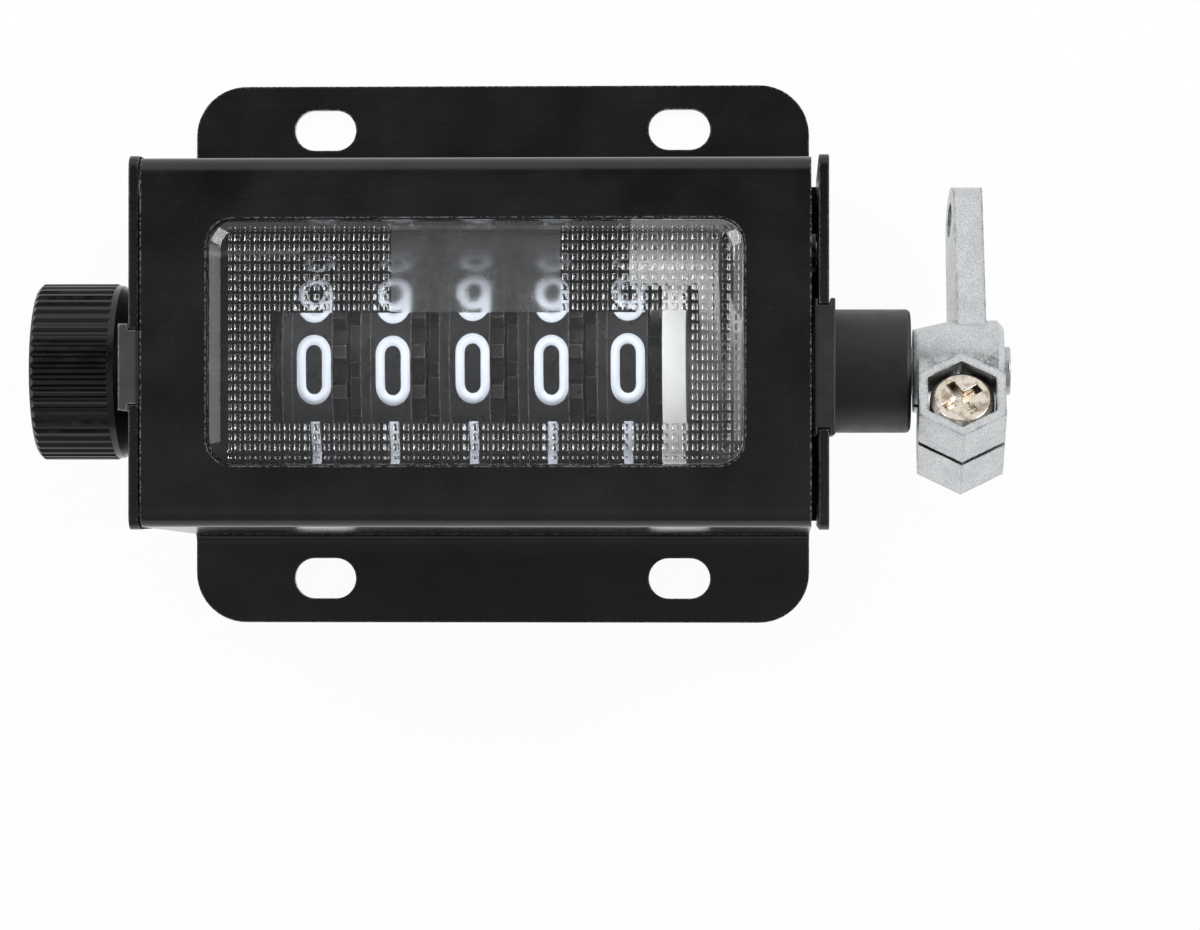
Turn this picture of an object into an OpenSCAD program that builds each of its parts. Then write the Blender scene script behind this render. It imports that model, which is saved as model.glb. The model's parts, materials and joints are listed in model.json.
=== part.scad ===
// Five digit stroke counter: flanged sheet cover, textured window, number wheels with
// carry pinions, reset knob on the left and a clamped die-cast lever on the right.
// Origin: centre of the four mounting slots, on the back face of the flanges.
// +X runs along the shaft towards the lever, +Z points out of the window.

/* [Cover] */
// Length of the sheet cover and its flanges along the shaft
cover_len = 64; // [60:1:80]
// Width of the cover's front face
cover_w = 35.2; // [34:0.2:46]
// Depth from the mounting face to the front face
cover_depth = 44; // [42:0.5:56]
// How far each long wall leans outwards at its foot
wall_flare = 1.2; // [0.4:0.1:2]
// Thickness of the cover sheet
sheet_t = 1; // [0.8:0.1:1.4]
// Outer radius of the two long front edges
front_bend_r = 1.8; // [1.5:0.1:3]
// Inner radius of the bend between wall and flange
flange_bend_r = 1; // [0.6:0.1:1.6]
// Width over both mounting flanges
flange_w = 56; // [54:0.5:70]
// Radius of the flange corners
flange_corner_r = 5.2; // [2:0.2:6]

/* [Mounting slots] */
// Slot spacing along the shaft
slot_pitch_x = 37; // [30:0.5:44]
// Slot spacing across the flanges
slot_pitch_y = 46.8; // [46:0.2:52]
// Slot length, end to end
slot_len = 6.4; // [5:0.1:8]
// Slot width
slot_w = 4.2; // [3.2:0.1:4.6]

/* [Window] */
// Length of the opening in the cover
window_w = 51.4; // [46:0.2:54]
// Height of the opening in the cover
window_h = 23.6; // [20:0.2:26]
// Corner radius of the opening
window_r = 2.6; // [1:0.1:4]
// Gap between the opening's edge and the lens
window_gap = 0.15; // [0.1:0.05:0.4]
// Thickness of the lens rim behind the cover
lens_rim_t = 1.9; // [1.4:0.1:2.4]
// Width of the rim that lies behind the cover
lens_rim_w = 2; // [1.5:0.1:3]
// How far the lens stands proud of the cover
lens_proud = 0.25; // [0.1:0.05:0.6]
// Width of the bevel round the lens front
lens_bevel = 0.5; // [0.2:0.1:0.8]
// Length of the magnifying strip over the digits
reader_w = 39.9; // [38:0.1:44]
// Height of the magnifying strip over the digits
reader_h = 10.3; // [8:0.1:12]
// Radius of the magnifying strip's curved back
reader_r = 14.7; // [12:0.1:20]

/* [Frame] */
// Thickness of the bent frame
frame_t = 1; // [0.8:0.1:1.4]
// Width of the frame's back inside the cover
frame_w = 34.8; // [33:0.2:35.2]
// Width of the end plates outside the cover
end_plate_w = 35.8; // [34.8:0.2:36.4]
// How far the end plates stop short of the cover's front
frame_drop = 0.6; // [0.3:0.1:1.2]
// Gap between the cover's left end and the end plate
left_end_gap = 0.2; // [0.1:0.1:0.8]
// Gap between the cover's right end and the end plate
right_end_gap = 0.7; // [0.5:0.1:1]
// Radius of the end plates' front corners
frame_corner_r = 1.4; // [0.6:0.2:3]
// Clearance of what sits in a hole or notch of the frame
seat_gap = 0.08; // [0.05:0.01:0.15]

/* [Shaft line] */
// Offset of the shaft below the middle of the window
axis_y = -2.35; // [-3:0.05:0]
// Height of the shaft above the mounting face
axis_z = 24; // [22:0.5:26]
// Radius of the reset shaft
reset_shaft_r = 2; // [1.6:0.1:2.2]
// Radius of the lever shaft
drive_shaft_r = 2.4; // [2.2:0.1:2.8]
// Running clearance between shafts and their bores
run_gap = 0.06; // [0.03:0.01:0.09]
// Width of the reset groove along the shaft
groove_w = 0.9; // [0.6:0.1:1.2]
// Depth of the reset groove
groove_d = 0.5; // [0.3:0.1:0.7]

/* [Number wheels] */
// Radius of the digit drums
wheel_r = 11.3; // [11.3:0.1:12.6]
// Spacing from digit to digit
wheel_pitch = 7.58; // [7:0.02:8]
// Width of a digit drum
drum_w = 4.9; // [4.4:0.1:5]
// Width of the lower shoulder at a drum's left edge
shoulder_w = 0.95; // [0.6:0.05:1.2]
// How far the shoulder lies below the digits
shoulder_drop = 0.15; // [0.1:0.05:0.3]
// Wall of a digit drum
drum_wall = 1.4; // [1:0.1:1.6]
// Thickness of the web that joins drum and hub
web_t = 1.2; // [0.8:0.1:1.6]
// Place of the units drum along the shaft
units_x = 13.7; // [13.2:0.1:13.9]
// Radius of the wheel hubs
hub_r = 4.4; // [3.6:0.1:5]
// Thickness of the driven gear on a wheel's right side
gear_w = 1.3; // [1:0.1:1.3]
// Thickness of the carry ring on a wheel's left side
carry_w = 1.1; // [0.9:0.1:1.1]
// Radial width of the carry ring
carry_wall = 1.5; // [1:0.1:2]
// Width of the spaces beside the two carry teeth
carry_space = 1.2; // [0.8:0.1:1.4]
// Depth of the spaces beside the two carry teeth
carry_depth = 1; // [0.6:0.1:1.2]
// Radius of the units ratchet
ratchet_r = 8.5; // [7.8:0.1:9]
// Depth of the ratchet teeth
ratchet_tooth = 1.2; // [0.8:0.1:1.4]
// Thickness of the ratchet
ratchet_w = 1.2; // [1:0.1:1.4]

/* [Carry pinions] */
// Module of the carry gearing
gear_module = 1.05; // [0.96:0.01:1.06]
// Pressure angle of the carry gearing
pressure_angle = 20; // [18:1:22]
// Teeth on a wheel gear
gear_teeth = 20; // [20:1:20]
// Teeth on a carry pinion
pinion_teeth = 8; // [8:1:8]
// Tip height of the wheel gear above its pitch circle
gear_addendum = 0.55; // [0.4:0.01:0.56]
// Tip height of the pinion above its pitch circle
pinion_addendum = 1; // [0.7:0.05:1.05]
// Clearance between tips and roots
root_gap = 0.2; // [0.15:0.05:0.3]
// Thinning of each flank, for backlash
flank_gap = 0.06; // [0.04:0.01:0.12]
// Side clearance of a pinion between two drums
pinion_side_gap = 0.2; // [0.1:0.05:0.3]
// Radius of the pinion shaft
pinion_shaft_r = 1.2; // [0.8:0.1:1.4]
// Direction of the pinion shaft, measured below +Y
pinion_angle = 35; // [28:1:42]

/* [Bushes] */
// Width of the left bush block
left_block_w = 8.3; // [7:0.1:10]
// Outer length of the left bush block
left_block_t = 0.9; // [0.6:0.1:1]
// Radius of the left bush inside the housing
left_barrel_r = 3.6; // [3:0.1:4]
// Length of the left bush inside the housing
left_barrel_len = 2; // [1:0.1:3]
// Width of the right bush block
right_block_w = 13; // [11:0.2:14]
// Outer length of the right bush block
right_block_t = 0.5; // [0.4:0.05:1]
// Thickness of the right bush's inner flange
right_lip_t = 0.35; // [0.25:0.05:0.4]
// Depth of the grooves that hold the end plates
block_groove = 0.55; // [0.3:0.05:0.8]
// Radius of the long right bush
right_barrel_r = 6.12; // [5:0.02:6.4]
// Length of the right bush outside the housing
right_barrel_len = 7.6; // [6:0.1:12]
// Chamfer at the end of the right bush
barrel_chamfer = 0.3; // [0.2:0.1:0.6]

/* [Reset knob] */
// Radius over the knob's flutes
knob_r = 8.75; // [7:0.05:10]
// Length of the fluted grip
grip_len = 7.7; // [6:0.1:12]
// Length of the smooth skirt behind the grip
skirt_len = 2.5; // [1.5:0.1:4]
// Radius of the skirt at the housing
skirt_r = 7.5; // [5:0.1:8]
// Number of flutes
flute_count = 48; // [36:1:60]
// Depth of the flutes
flute_depth = 0.32; // [0.2:0.02:0.5]
// Chamfer of the outer end
knob_chamfer = 0.45; // [0.2:0.05:0.8]
// Wall left between the knob's bore and its outer end
knob_end_wall = 2.5; // [1.5:0.1:4]
// Radius of the dished outer end
dish_r = 6.3; // [5:0.1:7]
// Depth of the dished outer end
dish_d = 0.4; // [0.2:0.1:0.8]
// Gap between knob and bush
knob_gap = 0.2; // [0.1:0.05:0.4]

/* [Feed] */
// Radius of the white feed disc
disc_r = 12; // [10:0.1:12.4]
// Thickness of the feed disc
disc_t = 2.3; // [1.6:0.1:2.6]
// Gap between ratchet and feed disc
disc_gap = 0.2; // [0.15:0.05:0.4]
// Thickness of the carrier arm
arm_plate_t = 2; // [1.4:0.1:2.4]
// Gap between the feed disc and the carrier arm
arm_plate_gap = 1.2; // [0.8:0.1:1.6]
// Width of the carrier arm
arm_plate_w = 8; // [6:0.2:9]
// Reach of the carrier arm's short end
arm_tail = 8.4; // [6:0.1:10]
// Inner radius of the carrier bar
bar_in_r = 12.9; // [12.8:0.05:13.2]
// Outer radius of the carrier bar
bar_out_r = 15.4; // [14.6:0.1:15.6]
// Direction of the carrier bar, measured above +Y
bar_angle = 38; // [34:1:42]
// Arc that the carrier bar covers
bar_arc = 15; // [10:1:18]
// How far the bar reaches over the units drum
bar_reach = 1.7; // [0.5:0.1:2.5]
// Thickness of the feed pawl
pawl_t = 0.8; // [0.6:0.1:0.9]
// Radius of the pawl pin
pawl_pin_r = 0.8; // [0.6:0.1:1]
// Distance of the pawl pin from the shaft
pawl_pin_dist = 10.6; // [10.4:0.1:11]
// Direction of the pawl pin, measured above +Y
pawl_angle = 62; // [58:1:66]
// Length of the pawl from its pin to its point
pawl_len = 5.2; // [4.6:0.1:5.4]
// Gap between pawl or detent and the ratchet tips
tip_gap = 0.15; // [0.1:0.05:0.25]
// Wire thickness of the return spring
spring_wire = 0.7; // [0.5:0.1:0.8]
// Mean radius of the return spring
spring_r = 5.6; // [5.4:0.1:6]
// Turns of the return spring
spring_turns = 5; // [3:1:6]
// Thickness of the detent leaf
leaf_t = 0.4; // [0.3:0.1:0.5]
// Width of the detent leaf
leaf_w = 0.8; // [0.6:0.1:1]
// How far the detent leaf leans over from its foot to its tip
leaf_lean = 3.2; // [2.4:0.1:4]
// Length of the detent leaf's foot
leaf_foot = 6; // [4:0.5:8]

/* [Retaining rings] */
// Thickness of a retaining ring
clip_t = 0.6; // [0.4:0.1:0.8]
// Radial width of a retaining ring
clip_w = 1.5; // [1:0.1:2]
// Depth of the groove a ring sits in
clip_groove = 0.35; // [0.25:0.05:0.5]
// Side clearance between ring and bush
clip_gap = 0.1; // [0.05:0.05:0.2]

/* [Lever] */
// Rest angle of the lever arm below +Y
lever_tilt = 33; // [20:1:40]
// Gap between the right bush and the lever
lever_gap = 0.25; // [0.2:0.05:1]
// Length of the lever hub along the shaft
lever_hub_len = 8.9; // [8.6:0.1:10]
// Width of the hexagonal clamp
clamp_w = 8.5; // [8:0.1:8.9]
// Radius of the hub beside the arm
lever_hub_r = 5; // [4.6:0.1:5.4]
// Radius of the hub at its free ends
lever_end_r = 4.1; // [3.6:0.1:4.4]
// Length of the hub's tapered left end
lever_taper_len = 4; // [3:0.1:5]
// Clearance of the clamped bore
clamp_gap = 0.02; // [0.01:0.01:0.03]
// Distance from the shaft to the clamp screw
clamp_offset = 6.1; // [5.6:0.1:7]
// Front reach of the hexagonal clamp
clamp_front = 5; // [4.6:0.1:6]
// Rear reach of the hexagonal clamp
clamp_rear = 5.5; // [5:0.1:6.5]
// Width of the clamp's split
split_w = 0.5; // [0.3:0.1:0.8]
// Wall round the hexagonal socket
socket_wall = 0.9; // [0.7:0.1:1.2]
// Depth of the hexagonal socket
socket_depth = 2.6; // [2:0.1:3]
// Distance from the shaft to the spring eye
eye_dist = 18.5; // [15:0.1:26]
// Radius of the arm's round tip
tip_r = 3.3; // [3:0.1:4.2]
// Radius of the spring eye
eye_r = 1.7; // [1.2:0.1:2]
// Half width of the arm at the hub
arm_half_w = 4.3; // [3.8:0.1:4.8]
// Thickness of the arm at its front face
arm_t = 2.8; // [2.4:0.1:3.6]
// Extra thickness at the arm's back from casting draft
arm_draft = 0.8; // [0.2:0.1:1]
// Place of the arm's front left edge on the hub
arm_offset = 4.4; // [3.8:0.1:4.8]

/* [Lever screw] */
// Radius of the screw head
screw_head_r = 3.15; // [2.6:0.05:3.2]
// Height of the screw head
screw_head_h = 1.9; // [1.5:0.1:2.2]
// Chamfer of the screw head
screw_chamfer = 0.45; // [0.2:0.05:0.6]
// Radius of the screw shank
screw_r = 1.5; // [1.2:0.1:1.6]
// Width of the driver slots
driver_w = 0.9; // [0.6:0.1:1.1]
// Depth of the driver slots
driver_depth = 1; // [0.6:0.1:1.2]
// Length of the driver slots, end to end
driver_len = 4.2; // [3:0.1:4.6]
// Clearance round the screw shank
screw_gap = 0.03; // [0.02:0.01:0.1]

/* [Hidden] */

$fn = 64;
eps = 0.01;

// Cover
flare_angle = atan(wall_flare / cover_depth);
front_z = cover_depth;
inner_front_z = cover_depth - sheet_t;

// Lens
lens_back_z = inner_front_z - window_gap - lens_rim_t;
lens_step_z = inner_front_z - window_gap;
lens_front_z = front_z + lens_proud;

// Frame
left_in_x = -cover_len / 2 - left_end_gap;
left_out_x = left_in_x - frame_t;
right_in_x = cover_len / 2 + right_end_gap;
right_out_x = right_in_x + frame_t;
frame_top_z = front_z - frame_drop;
left_notch_w = left_block_w - 2 * block_groove;
right_notch_w = right_block_w - 2 * block_groove;

// Bushes and knob
left_face_x = left_out_x - seat_gap - left_block_t;
left_barrel_x = left_in_x + left_barrel_len;
right_barrel_x = right_out_x + seat_gap + right_block_t;
right_end_x = right_barrel_x + right_barrel_len;
right_lip_x = right_in_x - seat_gap - right_lip_t;
knob_in_x = left_face_x - knob_gap;
grip_in_x = knob_in_x - skirt_len;
knob_out_x = grip_in_x - grip_len;
knob_bore_len = grip_len + skirt_len - knob_end_wall;

// Wheels and carry gearing
gear_pitch_r = gear_module * gear_teeth / 2;
pinion_pitch_r = gear_module * pinion_teeth / 2;
pinion_dist = gear_pitch_r + pinion_pitch_r;
gear_tip_r = gear_pitch_r + gear_addendum;
pinion_tip_r = pinion_pitch_r + pinion_addendum;
gear_root_r = pinion_dist - pinion_tip_r - root_gap;
pinion_root_r = pinion_dist - gear_tip_r - root_gap;
carry_r = gear_root_r;
pinion_len = wheel_pitch - drum_w - 2 * pinion_side_gap;
pinion_y = axis_y + pinion_dist * cos(pinion_angle);
pinion_z = axis_z - pinion_dist * sin(pinion_angle);
digits = 10;
last_wheel = 4;
wheel_bore_r = reset_shaft_r + run_gap;

// Feed
spring_seat = 1.2; // hub length inside the return spring
seat_rim = 0.3; // gap between the arm plate and the spring
shaft_end_gap = 0.4; // between the ends of the two shafts
shaft_proud = 0.7; // length of the lever shaft beyond the lever
pin_proud = 0.1; // length of the pinion shaft beyond the end plates
ratchet_x = units_x + drum_w / 2;
disc_x = ratchet_x + ratchet_w + disc_gap;
arm_plate_x = disc_x + disc_t + arm_plate_gap;
carrier_hub_end_x = arm_plate_x + arm_plate_t + spring_seat + seat_rim;
pawl_x = ratchet_x + (ratchet_w + disc_gap - pawl_t) / 2;
reset_end_x = arm_plate_x - shaft_end_gap;
drive_start_x = arm_plate_x;
drive_clip_x = right_lip_x - clip_gap - clip_t;
reset_clip_x = left_barrel_x + clip_gap;
spring_start_x = arm_plate_x + arm_plate_t + seat_rim;

// Lever
lever_x = right_end_x + lever_gap;
lever_end_x = lever_x + lever_hub_len;
lever_mid_x = lever_end_x - clamp_w / 2;
hex_r = clamp_w / 2 / cos(30);
socket_r = hex_r - socket_wall / cos(30);
socket_z = clamp_front - socket_depth;
drive_end_x = lever_end_x + shaft_proud;
clamp_h = clamp_rear + clamp_front;

// Flat rectangle with round corners, centred
module rounded_rect(w, h, r) {
    square([w, h - 2 * r], center = true);
    square([w - 2 * r, h], center = true);
    for (sx = [-1, 1], sy = [-1, 1])
        translate([sx * (w / 2 - r), sy * (h / 2 - r)]) circle(r);
}

// Extrudes a drawing in Y and Z along +X, from the shaft axis
module along_shaft(x, len) {
    translate([x, axis_y, axis_z]) rotate([90, 0, 90]) linear_extrude(len) children();
}

// Turns a profile of radius and length round the shaft axis, its length along +X
module round_shaft(x) {
    translate([x, axis_y, axis_z]) rotate([90, 0, 90]) rotate_extrude() children();
}

// Same extrusion, from the pinion shaft
module along_pinion(x, len) {
    translate([x, pinion_y, pinion_z]) rotate([90, 0, 90]) linear_extrude(len) children();
}

// Section of a folded box: leaning walls and round front edges
module folded_outline(half_top, half_foot, height, r) {
    centre = half_top + r * tan(flare_angle) - r / cos(flare_angle);
    side = [centre + r * cos(flare_angle), height - r + r * sin(flare_angle)];
    polygon([
        [half_foot, 0], side, [centre, height], [-centre, height], [-side[0], side[1]], [-half_foot, 0]
    ]);
    for (s = [-1, 1]) translate([s * centre, height - r]) circle(r);
}

// Section of the whole cover sheet, flanges included
module cover_section() {
    half_top = cover_w / 2;
    half_foot = half_top + wall_flare;
    wall = sheet_t / cos(flare_angle);
    bend = flange_bend_r;
    difference() {
        union() {
            folded_outline(half_top, half_foot, cover_depth, front_bend_r);
            translate([-flange_w / 2, 0]) square([flange_w, sheet_t]);
            for (s = [-1, 1]) on_side(s) difference() {
                translate([half_foot - wall / 2, sheet_t]) square([bend + wall / 2, bend]);
                translate([half_foot + bend, sheet_t + bend]) circle(bend);
            }
        }
        folded_outline(
            half_top - wall + sheet_t * tan(flare_angle), half_foot - wall,
            cover_depth - sheet_t, front_bend_r - sheet_t
        );
        for (s = [-1, 1]) on_side(s) difference() {
            translate([half_foot - wall - eps, -eps]) square([bend + wall, bend + sheet_t]);
            translate([half_foot + bend, bend + sheet_t]) circle(bend + sheet_t);
            translate([half_foot + bend, -1]) square([bend + wall, bend + sheet_t + 2]);
        }
    }
}

// Keeps or mirrors a drawing from the +Y side
module on_side(s) {
    mirror([s < 0 ? 1 : 0, 0]) children();
}

module slot_outline() {
    square([slot_len - slot_w, slot_w], center = true);
    for (s = [-1, 1]) translate([s * (slot_len - slot_w) / 2, 0]) circle(slot_w / 2);
}

module cover() {
    color([0.05, 0.05, 0.055])
    difference() {
        intersection() {
            translate([-cover_len / 2, 0, 0]) rotate([90, 0, 90]) linear_extrude(cover_len) cover_section();
            translate([0, 0, -1]) linear_extrude(cover_depth + 2)
                rounded_rect(cover_len, flange_w, flange_corner_r);
        }
        translate([0, 0, inner_front_z - 1]) linear_extrude(sheet_t + 2)
            rounded_rect(window_w, window_h, window_r);
        for (sx = [-1, 1], sy = [-1, 1])
            translate([sx * slot_pitch_x / 2, sy * slot_pitch_y / 2, -1])
                linear_extrude(sheet_t + 2) slot_outline();
    }
}

module lens() {
    boss_w = window_w - 2 * window_gap;
    boss_h = window_h - 2 * window_gap;
    reader_sag = reader_r - sqrt(pow(reader_r, 2) - pow(reader_h / 2, 2));
    color([0.8, 0.85, 0.88, 0.4])
    union() {
        translate([0, 0, lens_back_z]) linear_extrude(lens_rim_t)
            rounded_rect(window_w + 2 * lens_rim_w, window_h + 2 * lens_rim_w, window_r + lens_rim_w);
        translate([0, 0, lens_step_z - eps]) linear_extrude(lens_front_z - lens_bevel - lens_step_z + eps)
            rounded_rect(boss_w, boss_h, window_r - window_gap);
        hull() {
            translate([0, 0, lens_front_z - lens_bevel - eps]) linear_extrude(eps)
                rounded_rect(boss_w, boss_h, window_r - window_gap, $fn = 32);
            translate([0, 0, lens_front_z - eps]) linear_extrude(eps)
                rounded_rect(
                    boss_w - 2 * lens_bevel, boss_h - 2 * lens_bevel, window_r - lens_bevel, $fn = 32
                );
        }
        translate([-reader_w / 2, axis_y, lens_back_z]) rotate([90, 0, 90]) linear_extrude(reader_w)
            intersection() {
                translate([0, reader_r - reader_sag]) circle(reader_r);
                translate([-reader_h / 2, -reader_sag - 1]) square([reader_h, reader_sag + 1 + eps]);
            }
    }
}

// One end plate with its open notch for a bush
module end_plate(x, notch_w) {
    r = frame_corner_r;
    height = frame_top_z - frame_t;
    translate([x, 0, 0]) rotate([90, 0, 90]) linear_extrude(frame_t) difference() {
        translate([0, frame_t]) {
            translate([-end_plate_w / 2, 0]) square([end_plate_w, height - r]);
            translate([-end_plate_w / 2 + r, 0]) square([end_plate_w - 2 * r, height]);
            for (s = [-1, 1]) translate([s * (end_plate_w / 2 - r), height - r]) circle(r);
        }
        translate([axis_y, axis_z]) circle(notch_w / 2);
        translate([axis_y - notch_w / 2, axis_z]) square([notch_w, frame_top_z]);
        translate([pinion_y, pinion_z]) circle(pinion_shaft_r + run_gap);
    }
}

// Back plate of the frame, with a round bend at each end
module frame_back() {
    translate([0, frame_w / 2, 0]) rotate([90, 0, 0]) linear_extrude(frame_w) difference() {
        union() {
            translate([left_in_x, 0]) square([right_in_x - left_in_x, frame_t]);
            translate([left_in_x, frame_t]) circle(frame_t);
            translate([right_in_x, frame_t]) circle(frame_t);
        }
        translate([left_out_x - 1, frame_t]) square([right_out_x - left_out_x + 2, 2 * frame_t]);
    }
}

module frame() {
    color([0.07, 0.07, 0.075])
    union() {
        frame_back();
        end_plate(left_in_x - frame_t, left_notch_w);
        end_plate(right_in_x, right_notch_w);
    }
}

// Block that closes a notch: round below the shaft, straight up to the front edge
module notch_block(x, len, w) {
    translate([x, 0, 0]) rotate([90, 0, 90]) linear_extrude(len) {
        translate([axis_y, axis_z]) circle(w / 2);
        translate([axis_y - w / 2, axis_z]) square([w, frame_top_z - axis_z]);
    }
}

module left_bush() {
    neck_w = left_notch_w - 2 * seat_gap;
    color([0.36, 0.36, 0.38])
    difference() {
        union() {
            notch_block(left_face_x, left_block_t, left_block_w);
            notch_block(left_face_x, left_in_x - left_face_x, neck_w);
            along_shaft(left_in_x - eps, left_barrel_len + eps) circle(left_barrel_r);
        }
        along_shaft(left_face_x - 1, left_barrel_x - left_face_x + 2) circle(reset_shaft_r + run_gap);
    }
}

module right_bush() {
    neck_w = right_notch_w - 2 * seat_gap;
    color([0.09, 0.09, 0.1])
    difference() {
        union() {
            notch_block(right_lip_x, right_lip_t, right_block_w);
            notch_block(right_lip_x, right_barrel_x - right_lip_x, neck_w);
            notch_block(right_out_x + seat_gap, right_block_t, right_block_w);
            round_shaft(right_barrel_x - eps) polygon([
                [0, 0], [right_barrel_r, 0], [right_barrel_r, right_barrel_len - barrel_chamfer],
                [right_barrel_r - barrel_chamfer, right_barrel_len], [0, right_barrel_len]
            ]);
        }
        along_shaft(right_lip_x - 1, right_end_x - right_lip_x + 2) circle(drive_shaft_r + run_gap);
    }
}

module pinion_shaft() {
    color([0.75, 0.75, 0.77])
    along_pinion(left_out_x - pin_proud, right_out_x - left_out_x + 2 * pin_proud)
        circle(pinion_shaft_r);
}

// Ring with one open side, as wide as most of its bore
module clip_ring(bore_r, outer_r) {
    mouth = 1.4 * bore_r;
    difference() {
        circle(outer_r);
        circle(bore_r);
        translate([0, -mouth / 2]) square([outer_r + 1, mouth]);
    }
}

module pinion_shaft_clips() {
    ring_r = pinion_shaft_r + run_gap / 2;
    ring_w = clip_w * pinion_shaft_r / reset_shaft_r;
    color([0.6, 0.6, 0.62])
    for (x = [left_in_x + clip_gap, right_in_x - clip_gap - clip_t])
        along_pinion(x, clip_t) clip_ring(ring_r, ring_r + ring_w);
}

module detent_spring() {
    top_z = axis_z - ratchet_r - tip_gap;
    lean = leaf_lean;
    leaf_x = pawl_x + (pawl_t - leaf_w) / 2;
    foot_z = frame_t + seat_gap;
    color([0.7, 0.7, 0.72])
    translate([leaf_x, axis_y, 0]) rotate([90, 0, 90]) linear_extrude(leaf_w) {
        translate([-lean - leaf_foot, foot_z]) square([leaf_foot + leaf_t, leaf_t]);
        polygon([
            [-lean, foot_z], [-lean + leaf_t, foot_z], [leaf_t, top_z - leaf_t], [lean / 2, top_z - lean / 2],
            [lean / 2 + leaf_t, top_z - lean / 2], [leaf_t / 2, top_z], [-leaf_t, top_z]
        ]);
    }
}

// Outline of a fluted grip
module fluted_outline() {
    step = 360 / flute_count;
    polygon([
        for (i = [0 : flute_count - 1], k = [0 : 3])
            let (a = (i + k / 4) * step, r = k < 2 ? knob_r : knob_r - flute_depth)
                r * [cos(a), sin(a)]
    ]);
}

module reset_knob() {
    color([0.06, 0.06, 0.065])
    difference() {
        union() {
            intersection() {
                along_shaft(knob_out_x, grip_len) fluted_outline();
                round_shaft(knob_out_x) polygon([
                    [0, 0], [knob_r - knob_chamfer, 0], [knob_r + eps, knob_chamfer],
                    [knob_r + eps, grip_len + 1], [0, grip_len + 1]
                ]);
            }
            round_shaft(grip_in_x - eps) polygon([
                [0, 0], [knob_r - flute_depth / 2, 0], [knob_r - flute_depth / 2, skirt_len / 4],
                [skirt_r, skirt_len], [0, skirt_len]
            ]);
        }
        round_shaft(knob_out_x - eps) polygon([
            [0, 0], [dish_r, 0], [dish_r - dish_d, dish_d], [0, dish_d]
        ]);
        along_shaft(knob_in_x - knob_bore_len, knob_bore_len + 1) circle(reset_shaft_r + clamp_gap);
    }
}

module reset_shaft() {
    start_x = knob_in_x - knob_bore_len + seat_rim;
    keyed_x = reset_clip_x + 2 * clip_t;
    color([0.78, 0.78, 0.8])
    difference() {
        along_shaft(start_x, reset_end_x - start_x) circle(reset_shaft_r);
        translate([keyed_x, axis_y - groove_w / 2, axis_z + reset_shaft_r - groove_d])
            cube([reset_end_x - keyed_x + 1, groove_w, groove_d + 1]);
        ring_groove(reset_clip_x, reset_shaft_r);
    }
}

// Groove for a retaining ring
module ring_groove(x, shaft_r) {
    along_shaft(x - clip_gap / 2, clip_t + clip_gap) difference() {
        circle(shaft_r + 1);
        circle(shaft_r - clip_groove);
    }
}

// Retaining ring seated in its groove
module retaining_ring(x, shaft_r) {
    color([0.55, 0.55, 0.57])
    along_shaft(x, clip_t) clip_ring(shaft_r - clip_groove + clamp_gap, shaft_r + clip_w);
}

module reset_clip() {
    retaining_ring(reset_clip_x, reset_shaft_r);
}

module spacer_sleeve() {
    last_x = units_x - last_wheel * wheel_pitch;
    start_x = reset_clip_x + clip_t + clip_gap;
    end_x = last_x - drum_w / 2 - carry_w - pinion_side_gap;
    color([0.12, 0.12, 0.13])
    along_shaft(start_x, end_x - start_x) difference() {
        circle(left_barrel_r);
        circle(reset_shaft_r + run_gap);
    }
}

// Involute function in degrees, for a radius and a base radius
function involute(r, base_r) =
    r <= base_r ? 0 : tan(acos(base_r / r)) * 180 / PI - acos(base_r / r);

// Half angle of a tooth at radius r
function flank_angle(r, teeth, pitch_r) =
    let (base_r = pitch_r * cos(pressure_angle))
        90 / teeth - flank_gap / pitch_r * 180 / PI + involute(pitch_r, base_r) - involute(r, base_r);

// Spur gear with a tooth centred on angle 0
module gear_outline(teeth, tip_r, root_r) {
    pitch_r = gear_module * teeth / 2;
    base_r = pitch_r * cos(pressure_angle);
    start_r = max(root_r + eps, base_r);
    steps = 4;
    radii = concat([root_r], [for (k = [0 : steps]) start_r + (tip_r - start_r) * k / steps]);
    last = len(radii) - 1;
    polygon([
        for (i = [0 : teeth - 1], k = [0 : 2 * last + 1])
            let (
                side = k <= last ? -1 : 1,
                r = radii[k <= last ? k : 2 * last + 1 - k],
                a = i * 360 / teeth + side * flank_angle(r, teeth, pitch_r)
            )
                r * [cos(a), sin(a)]
    ]);
}

// Ratchet with one tooth for each digit
module ratchet_outline() {
    step = 360 / digits;
    polygon([
        for (i = [0 : digits - 1], k = [0, 1])
            let (a = (i + k * 0.08) * step, r = k == 0 ? ratchet_r : ratchet_r - ratchet_tooth)
                r * [cos(a), sin(a)]
    ]);
}

module ring_section(outer_r, inner_r) {
    difference() {
        circle(outer_r);
        circle(inner_r);
    }
}

// Spaces that leave two carry teeth standing in the ring
module carry_spaces(x) {
    for (k = [-1 : 1])
        translate([x - eps, axis_y, axis_z]) rotate([90 - k * 360 / gear_teeth * 1.5, 0, 0])
            translate([0, carry_r - carry_depth, -carry_space / 2])
                cube([carry_w - pinion_side_gap, carry_depth + 1, carry_space]);
}

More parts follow.
